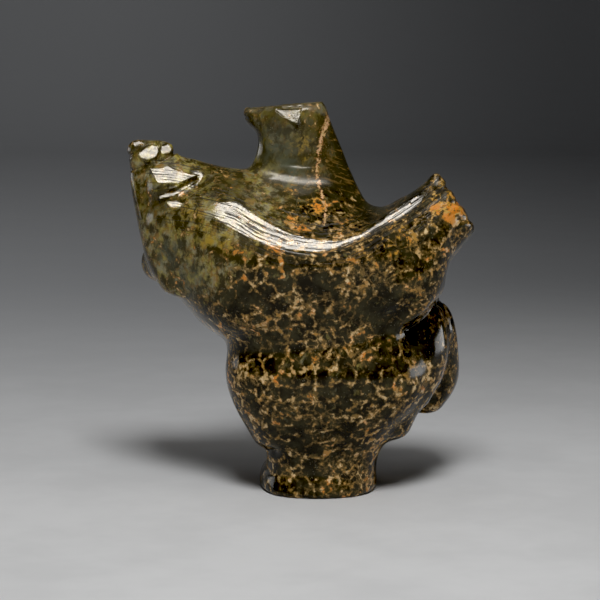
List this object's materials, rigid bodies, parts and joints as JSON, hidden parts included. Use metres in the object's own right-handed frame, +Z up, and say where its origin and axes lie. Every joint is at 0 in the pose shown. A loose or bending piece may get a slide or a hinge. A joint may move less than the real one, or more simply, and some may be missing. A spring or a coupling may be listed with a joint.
{
  "type": "soapstone bear carving",
  "caption": "Small polished stone carving of a dancing bear on one leg, both forelegs raised and the head in profile.",
  "frame": {"origin": "on the flat underside of the standing foot, in the middle of its width", "axes": "+Z up; -Y the bear's back, the side the picture shows; +X the side of the raised right leg; the head looks to -X"},
  "size_m": [0.1031, 0.0534, 0.115],
  "materials": {
    "stone": "hand-polished dark green serpentine soapstone, with tan and orange speckles and one pink-orange vein"
  },
  "bodies": {
    "root": {"bear": "stone"}
  },
  "joints": []
}
